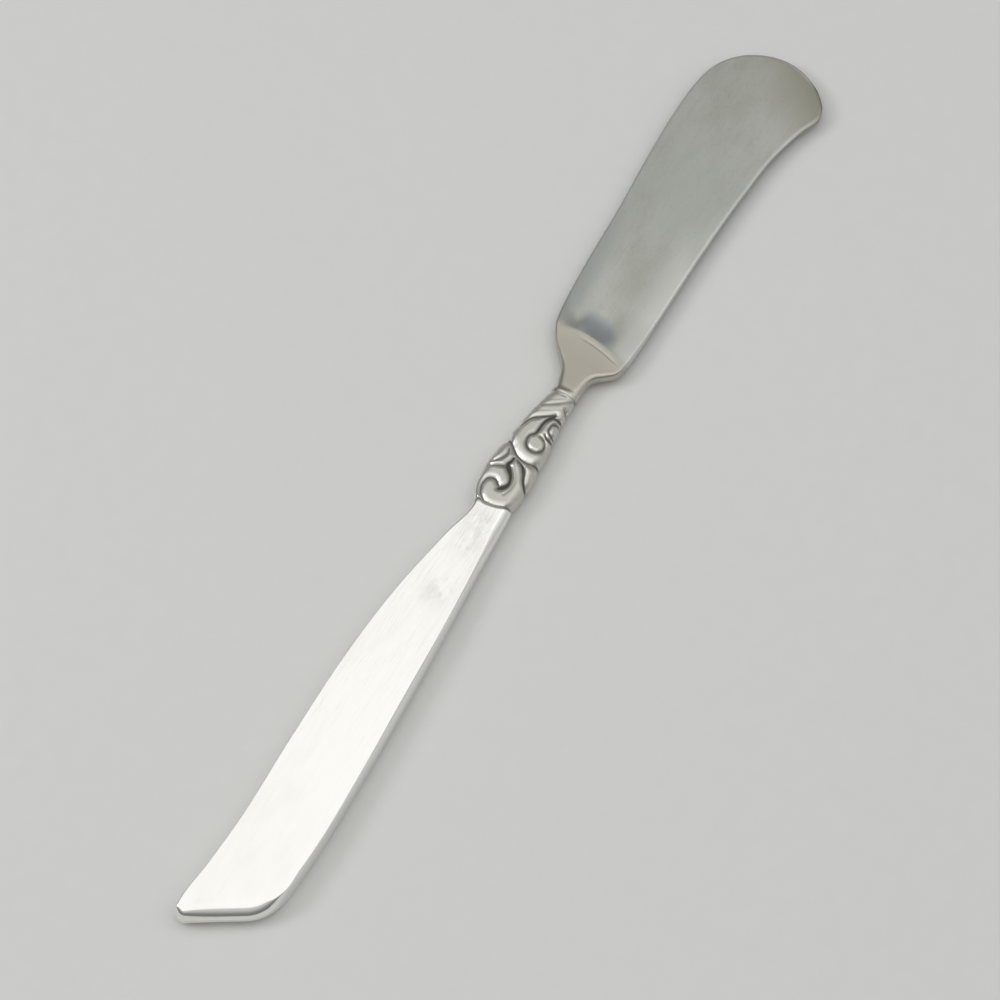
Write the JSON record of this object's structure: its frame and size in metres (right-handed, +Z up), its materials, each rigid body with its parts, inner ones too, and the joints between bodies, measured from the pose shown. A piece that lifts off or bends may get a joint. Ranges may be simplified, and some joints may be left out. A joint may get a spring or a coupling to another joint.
{
  "type": "butter knife",
  "caption": "Slim butter knife with a round-ended blade, a ring at the neck, scrolled relief and a plain hollow handle with a slanted end.",
  "frame": {"origin": "middle of the knife's length and width, on the surface that its back lies on", "axes": "+X along the knife towards the blade's tip, +Y to the left seen from the handle, +Z up out of the face"},
  "size_m": [0.1603, 0.0188, 0.0036],
  "materials": {
    "blade_metal": "satin, finely scratched",
    "handle_silver": "polished, darkened in the recesses of the ornament",
    "solder": "dull",
    "cement": "matt"
  },
  "bodies": {
    "root": {"blade": "blade_metal", "collar": "handle_silver", "collar_solder": "solder", "handle_front_shell": "handle_silver", "handle_back_shell": "handle_silver", "seam_solder": "solder", "handle_filler": "cement"}
  },
  "joints": []
}
